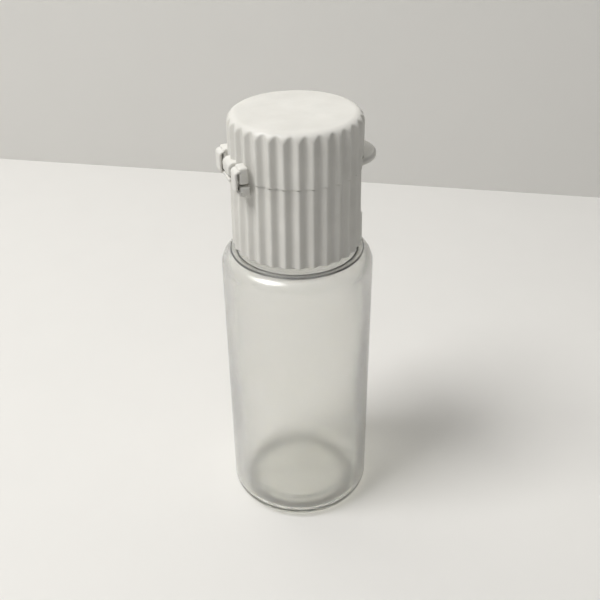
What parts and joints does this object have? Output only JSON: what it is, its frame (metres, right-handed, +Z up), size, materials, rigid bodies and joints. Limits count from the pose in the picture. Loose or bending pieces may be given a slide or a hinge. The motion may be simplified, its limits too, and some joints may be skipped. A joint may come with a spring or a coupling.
{
  "type": "dropper bottle",
  "caption": "Round translucent squeeze bottle with a ribbed screw cap, a flip lid on strap hinges and a drip nozzle inside.",
  "frame": {"origin": "centre of the base, on the surface the bottle stands on", "axes": "+Z up the bottle's axis, +X towards the lid's thumb tab, -X towards its hinge"},
  "size_m": [0.0225, 0.022, 0.0645],
  "materials": {
    "natural_polyethylene": "satin, milky and see-through",
    "white_polypropylene": "fine satin moulded"
  },
  "bodies": {
    "bottle": {"bottle": "natural_polyethylene"},
    "dropper": {"dropper_insert": "natural_polyethylene"},
    "collar": {"collar": "white_polypropylene", "hinge_strap_left": "white_polypropylene", "hinge_strap_right": "white_polypropylene"},
    "lid": {"lid": "white_polypropylene"}
  },
  "joints": [
    {"name": "cap_lift", "type": "slide", "parent": "bottle", "child": "dropper", "axis": [0, 0, 1], "range_m": [0, 0.01]},
    {"name": "cap_turn", "type": "hinge", "parent": "dropper", "child": "collar", "pos_m": [0, 0, 0.05], "axis": [0, 0, 1], "range_deg": [0, 1440]},
    {"name": "lid_hinge", "type": "hinge", "parent": "collar", "child": "lid", "pos_m": [-0.0101, 0, 0.05704], "axis": [0, -1, 0], "range_deg": [0, 170], "deforming": ["hinge_strap_left", "hinge_strap_right"]}
  ],
  "couplings": [
    {"joint": "cap_lift", "follows": "cap_turn", "m_per_rad": 0.00039789}
  ]
}
